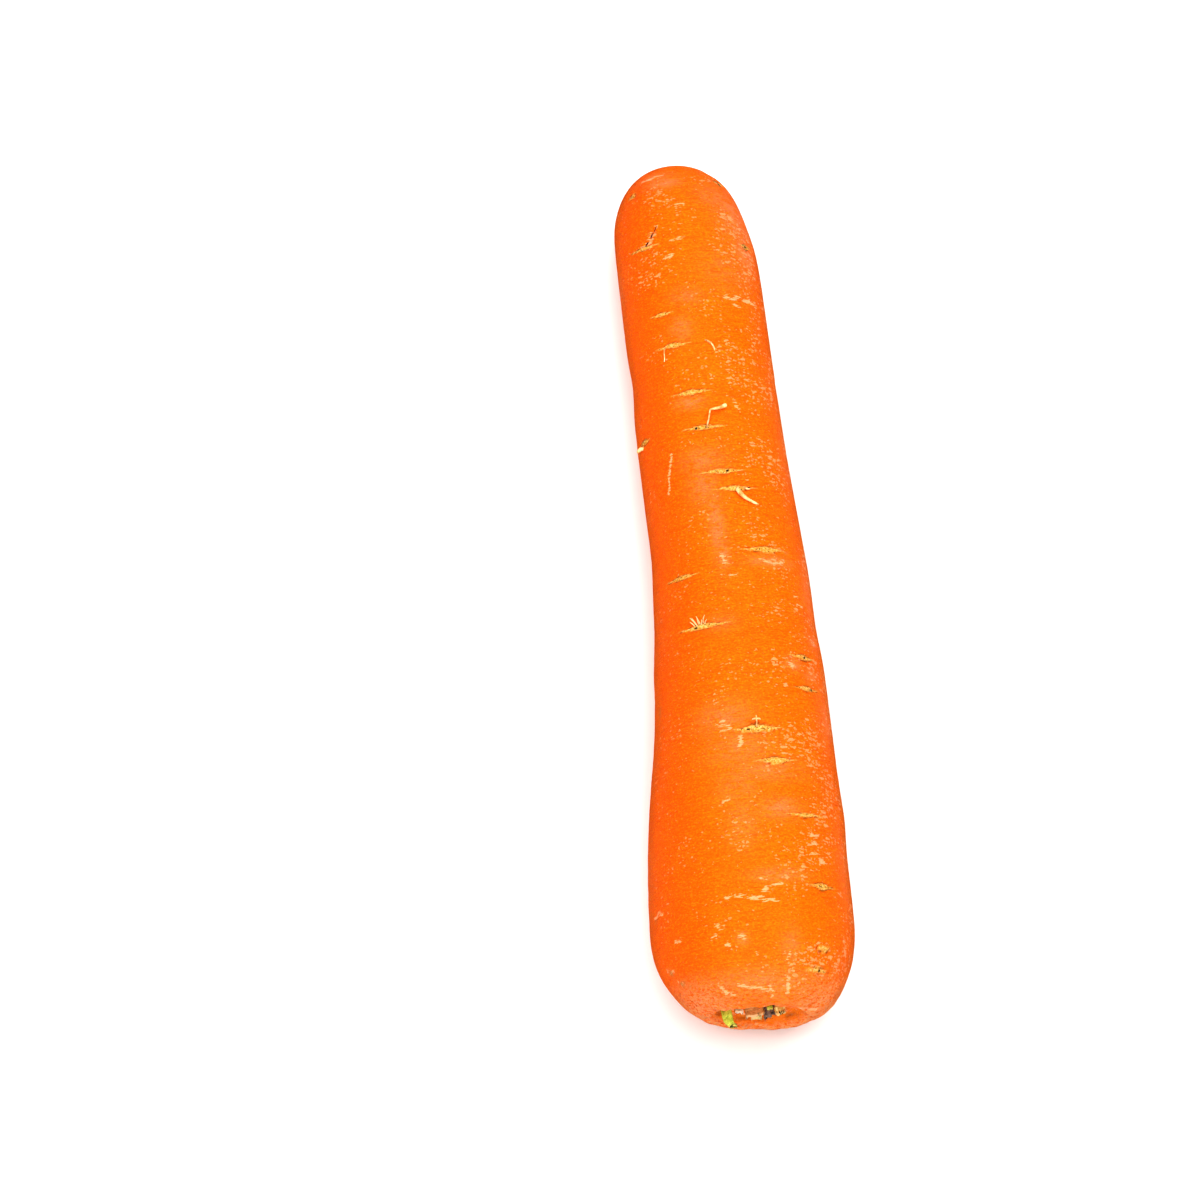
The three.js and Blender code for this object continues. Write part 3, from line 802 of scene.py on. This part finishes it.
# %% Sweeping
def sweep(bm, rings):
    """A closed stem through rings, each an n by 3 array of points in metres."""
    place = bm.verts.layers.int.get("place_in_ring") or bm.verts.layers.int.new("place_in_ring")
    disc = bmesh.ops.create_circle(bm, cap_ends=True, segments=len(rings[0]), radius=1)["verts"]
    for index, vert in enumerate(disc):
        vert[place] = index
        vert.co = rings[0][index]
    face = disc[0].link_faces[0]
    for ring in rings[1:]:
        extruded = bmesh.ops.extrude_face_region(bm, geom=[face])["geom"]
        face = next(part for part in extruded if isinstance(part, bmesh.types.BMFace))
        for vert in face.verts:
            vert.co = ring[vert[place]]
    return face


def smooth_columns(rows, count):
    """Draws a smooth curve through each column of rows, and reads it at count even steps."""
    rows = np.array(rows, float)
    spots = np.arange(len(rows))
    steps = np.linspace(0, len(rows) - 1, count)
    return np.stack([smooth_through(list(zip(spots, column)))(steps) for column in rows.T], -1)


def route_rings(places, radii, sides, roughness=0.12, seed=0.0):
    """Round rings along a route through places in metres, with radii in metres at each place."""
    smooth = smooth_columns(np.column_stack([places, radii]), 6 * len(places))
    route, radius = smooth[:, :3], smooth[:, 3]
    side = Vector((0.3, 0.2, 1))
    rings = []
    for index, middle in enumerate(route):
        before, after = route[max(index - 1, 0)], route[min(index + 1, len(route) - 1)]
        along = Vector(after - before).normalized()
        side = (side - along * side.dot(along)).normalized()
        other = along.cross(side)
        angles = np.linspace(0, 2 * math.pi, sides, endpoint=False)
        ring = np.stack([np.cos(angles), np.sin(angles), angles * 0 + index / 3], -1)
        bumps = 1 + roughness * noise_at(ring, 0.8, seed)
        reach = (radius[index] * bumps)[:, None]
        rings.append(middle + reach * (np.cos(angles)[:, None] * np.array(side)
                                       + np.sin(angles)[:, None] * np.array(other)))
    return rings


def finish_piece(name, bm, nodes, material):
    """Makes the bmesh an object that stands in for the named solids."""
    bmesh.ops.recalc_face_normals(bm, faces=bm.faces)
    mesh = bpy.data.meshes.new(name)
    bm.to_mesh(mesh)
    bm.free()
    mesh.shade_smooth()
    mesh.materials.append(material)
    piece = placed(name, mesh)
    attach(piece, "root")
    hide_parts(*nodes)
    print(name, "has", len(mesh.vertices), "vertices")
    return piece


# %% [markdown]
# ## Dried plant tissue
#
# The stalks and side roots share one way of being coloured: two tones of the same tissue that
# alternate in fine lengthwise grain, a third colour in flecks, and a dried colour that takes over
# towards the torn end. The share of dried tissue is painted on each mesh as it is made.

# %% Tissue materials
def tissue(name, deep, light, fleck, dried, stretch_by=(1, 0.3, 1), per_metre=1500.0, flecks=0.5):
    """A material of two tones with grain, flecks and a dried end."""
    material, tree, shader, place = new_material(name)
    rows = use_group(grain, {"Place": place, "Stretch": stretch_by, "Per metre": per_metre})
    spots = use_group(dried_flecks, {"Place": place, "Stretch": stretch_by,
                                     "Per metre": per_metre * 1.2, "Amount": flecks})["Mask"]
    colour = layer(paint_colour(deep), rows["Tone"], light)
    uneven = noise_texture(place, 900.0, 3.0, 0.6)
    share = ramp(total(painted(tree, "dried_share"), maths("SUBTRACT", uneven, 0.5)), 0.35, 0.85)
    colour = layer(colour, share, dried)
    colour = layer(colour, spots, fleck, 0.8)
    height = total(rows["Height"], product(uneven, 0.6))
    bump = add_node(tree, "ShaderNodeBump", {"Strength": 0.7, "Distance": 0.0003, "Height": height})
    set_inputs(shader, {"Base Color": colour, "Roughness": ramp(share, 0, 1, 0.5, 0.8),
                        "Normal": bump.outputs[0], "Specular IOR Level": 0.25})
    return material


dried_root_tissue = tissue("dried_side_root", "C98E48", "E8C284", "9A6428", "F2D4A0", flecks=0.35)
green_tissue = tissue("green_stalk", "98A428", "D8D860", "56661A", "D6C870", flecks=0.45)
pale_tissue = tissue("pale_stalk", "D2A850", "F6E0A0", "7A5426", "E8CE92", flecks=0.55)
dried_leaf_tissue = tissue("dried_leaf", "B47C3C", "E8B67C", "5E3A1A", "E8C498",
                           stretch_by=(0.3, 1, 2.5), flecks=0.5)
papery_tissue = tissue("papery_scale", "B88E60", "EED6B0", "6C4C30", "F6E8D0", flecks=0.5)
withered_tissue = tissue("withered_leaf", "6C544A", "9C7E70", "3A2A24", "A08878", flecks=0.55)

# %% [markdown]
# ## Side roots that still cling to the skin
#
# Most side roots broke off and left only a scar. A few dried in place: a hooked one with a blunt
# end, a curled one that lies on the skin, a tuft of hairs, and some threads. They are at most a
# millimetre thick, so they are drawn as routes over the skin: t, turn and height off the skin.

# %% Side roots
# Each strand: the (radius, t, turn, height) that it runs through, in millimetres and degrees.
SIDE_ROOTS = {
    "hooked_side_root": [
        [(0.2, 124.1, -5.2, -0.4), (0.19, 124.8, -4, 0.5), (0.17, 125.8, -2.6, 1),
         (0.17, 126.8, -1.6, 1.2), (0.2, 127.4, -0.8, 1.3), (0.27, 127.6, 2, 1.2), (0.34, 127.8, 6, 1.1),
         (0.43, 128.2, 9.6, 1.1), (0.32, 128.4, 11, 1.1)],
    ],
    "curled_side_root": [
        [(0.3, 109.9, 11.2, -0.3), (0.44, 109.5, 11.2, 0.3), (0.5, 108.8, 12, 0.45),
         (0.44, 108.1, 13.8, 0.45), (0.36, 107.4, 16.6, 0.4), (0.3, 106.9, 19.6, 0.3),
         (0.24, 106.4, 23, 0.3), (0.13, 106.2, 25.4, 0.25)],
        [(0.2, 110, 16.6, -0.2), (0.24, 109.7, 17.6, 0.25), (0.2, 109.6, 19.4, 0.25),
         (0.12, 109.8, 21.4, 0.1)],
    ],
    "hanging_side_root": [
        [(0.16, 143.4, -29.6, -0.3), (0.16, 143, -30, 0.4), (0.14, 142, -30.6, 0.6), (0.12, 141, -31, 0.5),
         (0.1, 140.2, -32, 0.3)],
    ],
    "arched_side_root": [
        [(0.14, 143.6, 2.4, -0.2), (0.17, 143.4, 4, 0.25), (0.18, 142.8, 6.6, 0.35),
         (0.16, 141.9, 8.4, 0.25), (0.12, 141.2, 9.2, -0.1)],
    ],
    "short_side_root": [
        [(0.2, 56.2, 7.2, -0.4), (0.18, 56.8, 7.1, 0.6), (0.16, 57.6, 6.8, 1.2), (0.15, 58.4, 6.6, 1.5)],
        [(0.12, 57.6, 4.4, 1.1), (0.2, 57.7, 5.6, 1.3), (0.2, 57.7, 8, 1.3), (0.1, 57.6, 9.2, 1)],
    ],
    "edge_side_root": [
        [(0.42, 124.2, -71, -0.4), (0.42, 124, -72, 0.3), (0.36, 123.8, -74, 0.6), (0.26, 123.7, -76, 0.7)],
    ],
}
for number, (name, strands) in enumerate(SIDE_ROOTS.items()):
    bm = bmesh.new()
    for strand, points in enumerate(strands):
        spots = [on_skin(*place) for radius, *place in points]
        radii = np.array([radius for radius, *place in points]) * MM
        sweep(bm, route_rings(spots, radii, 12, seed=number + strand / 7))
    piece = finish_piece(name, bm, [name], dried_root_tissue)
    spots = coordinates(piece.data)
    paint(piece.data, "dried_share", 0.5 + 0.6 * noise_at(spots, 0.9 * MM, number))

# %% Tuft of root hairs
# Each hair: turn of its foot, its length in millimetres, and how far it leans to the side.
HAIRS = [(-31.6, 1.2, -0.5), (-30.4, 1.9, -0.35), (-29.2, 2.3, -0.2), (-28.2, 1.7, 0.1), (-27.0, 2.1, -0.1),
         (-25.8, 1.4, 0.3), (-24.8, 1.8, 0.5), (-23.6, 1.1, 0.7)]
bm = bmesh.new()
for number, (turn, length, lean) in enumerate(HAIRS):
    foot = 80.5 + 0.3 * math.sin(number * 2.3)
    spots = [on_skin(foot + share * 0.72 * length, turn + lean * 3.2 * length * share**1.5,
                     -0.3 + share * 0.75 * length) for share in (0, 0.35, 0.7, 1)]
    sweep(bm, route_rings(spots, np.array([0.15, 0.13, 0.11, 0.05]) * MM, 8, seed=number))
tuft = finish_piece("tuft_of_root_hairs", bm, ["left_root_hair", "middle_root_hair", "right_root_hair"],
                    dried_root_tissue)
paint(tuft.data, "dried_share", 0.9 + 0 * coordinates(tuft.data)[:, 0])

# %% [markdown]
# ## Broken leaf stalks in the hollow
#
# A leaf stalk is a channelled strap with ribs on its back. Cut or torn close to the root, each
# one has dried in its own way: one is still green and bends out over the rim, some are blunt pale
# stubs, one is a layered tan base, and one has withered to a dark rag. Each is swept as a crescent
# whose rings get narrower, with ribs and uneven edges from noise, and its torn end is inset so
# that a hollow pith shows. Places are millimetres right, outwards and up from the hollow's middle.

# %% Leaf stalks
HOLLOW_MIDDLE = in_frame(grown(0.0, 0.0, 0.0))


def stalk_rings(route, wide, thick, roll, taper, channel, ribs, rough, ragged, seed, sides=36, rows=30):
    """Crescent rings along a route, with ribs on the back and a ragged last few rings."""
    middle = HOLLOW_MIDDLE + smooth_columns(route, rows) * (1, -1, 1) * MM
    angles = np.linspace(0, 2 * math.pi, sides, endpoint=False)
    rings = []
    for index, centre in enumerate(middle):
        share = index / (rows - 1)
        along = Vector(middle[min(index + 1, rows - 1)] - middle[max(index - 1, 0)]).normalized()
        across = Vector((math.cos(math.radians(roll)), 0, math.sin(math.radians(roll))))
        across = (across - along * across.dot(along)).normalized()
        back = along.cross(across)
        size = 1 + (taper - 1) * share
        spot = np.stack([np.cos(angles) * 2, np.sin(angles) * 2, angles * 0 + share * 3], -1)
        uneven = 1 + rough * noise_at(spot, 0.9, seed) + rough * 0.6 * noise_at(spot, 0.35, seed + 1)
        rib = 1 + ribs[1] * np.cos(ribs[0] * angles) * (np.sin(angles) < 0.2)
        u = wide / 2 * size * np.cos(angles) * uneven
        v = thick / 2 * size * np.sin(angles) * uneven * rib + channel * thick * (np.cos(angles) ** 2 - 0.5)
        torn = ragged * smooth_step(0.55, 1.0, share) * noise_at(spot[:, :2] @ np.eye(2, 3), 0.55, seed + 2)
        rings.append(centre + MM * (u[:, None] * np.array(across) + v[:, None] * np.array(back)
                                    + torn[:, None] * np.array(along)))
    return rings


# Each stalk: material, slot, wide, thick, roll, taper, channel, (ribs, their height), rough, ragged,
# and its route.
STALKS = {
    "green_leaf_stalk": (green_tissue, "green_stalk", 2.6, 0.9, 12, 0.56, 0.5, (9, 0.22), 0.2, 1.1, [
        (-7.2, -3.9, 3.4), (-7, -2.2, 2.7), (-6.7, -0.6, 2), (-6.3, 0.8, 1.4), (-5.7, 1.6, 0.8)]),
    "pale_leaf_stalk": (pale_tissue, "pale_stalk", 2.5, 1.9, 184, 0.85, 0.18, (6, 0.1), 0.14, 0.5, [
        (-0.7, -4.2, -2), (-0.7, -2.6, -2.5), (-0.7, -1.2, -2.9), (-0.7, -0.3, -3.2)]),
    "small_green_leaf_stalk": (green_tissue, "green_stalk", 1.7, 1, -24, 0.7, 0.3, (7, 0.14), 0.16, 0.5, [
        (1.8, -4.1, 2.9), (1.8, -2.8, 2.8), (1.9, -1.6, 2.6), (2, -0.9, 2.3)]),
    "side_leaf_stalk": (pale_tissue, "pale_stalk", 2.2, 1.8, -22, 0.9, 0.3, (5, 0.16), 0.24, 0.9, [
        (4, -4.2, 0.5), (4, -2.6, 0.4), (4.1, -1.2, 0.2), (4.2, -0.5, 0)]),
    "dried_leaf_base": (dried_leaf_tissue, "dried_leaf", 4, 1.7, -3, 0.95, 0.12, (11, 0.16), 0.15, 0.6, [
        (-1.25, -4.1, 2.5), (-1.25, -2.4, 2.1), (-1.15, -0.9, 1.7), (-1.05, 0.1, 1.4)]),
    "withered_leaf": (withered_tissue, "withered_leaf", 2.8, 1.3, 165, 0.8, 0.4, (8, 0.2), 0.34, 1.1, [
        (1.8, -4.2, -0.4), (1.8, -2.6, -0.8), (1.9, -1.3, -1.2), (2.2, -0.4, -1.6)]),
    "papery_scale": (papery_tissue, "dried_leaf", 2, 0.6, 14, 0.85, 0.5, (6, 0.12), 0.22, 0.8, [
        (-4.5, -4.1, 2.9), (-4.4, -2.6, 2.7), (-4.3, -1.4, 2.5), (-4.2, -0.7, 2.2)]),
}
PITH_INSET, PITH_DEPTH = 0.16, 0.35
for number, (name, shape) in enumerate(STALKS.items()):
    material, slot, *form, route = shape
    rings = stalk_rings(route, *form, seed=number * 3 + 1)
    bm = bmesh.new()
    end = sweep(bm, rings)
    bmesh.ops.inset_individual(bm, faces=[end], thickness=PITH_INSET * MM, depth=-PITH_DEPTH * MM)
    piece = finish_piece(name, bm, [name], material)
    spots = coordinates(piece.data)
    first, last = rings[0].mean(0), rings[-1].mean(0)
    share = (spots - first) @ (last - first) / ((last - first) @ (last - first))
    paint(piece.data, "dried_share", smooth_step(0.75, 1.05, share))

# %% [markdown]
# ## Floor, light and camera
#
# The carrot lies on a plain white table in a white room, under a large soft light from above and a
# smaller one from the crown's side. The camera is a metre away and looks down steeply from beyond
# the crown, so the carrot points up and slightly to the left.

# %% Floor
floor_bm = bmesh.new()
bmesh.ops.create_grid(floor_bm, x_segments=1, y_segments=1, size=3)
floor_mesh = bpy.data.meshes.new("table_top")
floor_bm.to_mesh(floor_mesh)
floor_bm.free()
floor = placed("table_top", floor_mesh)
floor_paint, tree, shader, place = new_material("white_table")
tone = ramp(noise_texture(place, 3.0), 0.3, 0.7)
white = blend_colour(tone, (0.86, 0.86, 0.86, 1), (0.88, 0.88, 0.88, 1))
set_inputs(shader, {"Base Color": white, "Roughness": 0.7})
floor_mesh.materials.append(floor_paint)
floor.visible_glossy = False

# %% Light
world = bpy.data.worlds.new("white_room")
world.use_nodes = True
set_inputs(world.node_tree.nodes["Background"], {"Color": (1, 1, 1, 1), "Strength": 0.5})
world.cycles_visibility.glossy = False
scene.world = world


def soft_light(name, place, aim, width, depth, watts):
    """A rectangular light at place that faces aim."""
    lamp = bpy.data.lights.new(name, "AREA")
    lamp.shape = "RECTANGLE"
    lamp.size, lamp.size_y, lamp.energy = width, depth, watts
    made = placed(name, lamp)
    made.location = place
    made.rotation_euler = (Vector(aim) - Vector(place)).to_track_quat("-Z", "Y").to_euler()


soft_light("overhead_softbox", (0.05, 0.05, 0.75), (0.005, 0.0, 0.02), 0.7, 1.1, 11.2)
soft_light("front_softbox", (-0.2, -0.9, 0.42), (0, -0.05, 0.02), 0.7, 0.5, 4)
scene.view_settings.view_transform = "Standard"
scene.view_settings.gamma = 0.75

# %% Camera
ELEVATION, SWING, DISTANCE = math.radians(72), math.radians(-4.4), 1.0
FRAME_WIDTH, FOCAL = 1200, 4785
TARGET = Vector((-0.0255, -0.00105, 0.018))
toward = Vector((math.sin(SWING) * math.cos(ELEVATION), -math.cos(SWING) * math.cos(ELEVATION),
                 math.sin(ELEVATION)))
right = Vector((math.cos(SWING), math.sin(SWING), 0))
up = toward.cross(right)
lens = bpy.data.cameras.new("camera")
lens.sensor_width = 36
lens.lens = lens.sensor_width * FOCAL / FRAME_WIDTH
lens.clip_start = 0.05
camera = placed("camera", lens)
facing = Matrix((right, up, toward)).transposed().to_4x4()
camera.matrix_world = Matrix.Translation(TARGET + toward * DISTANCE) @ facing
bpy.context.scene.camera = camera
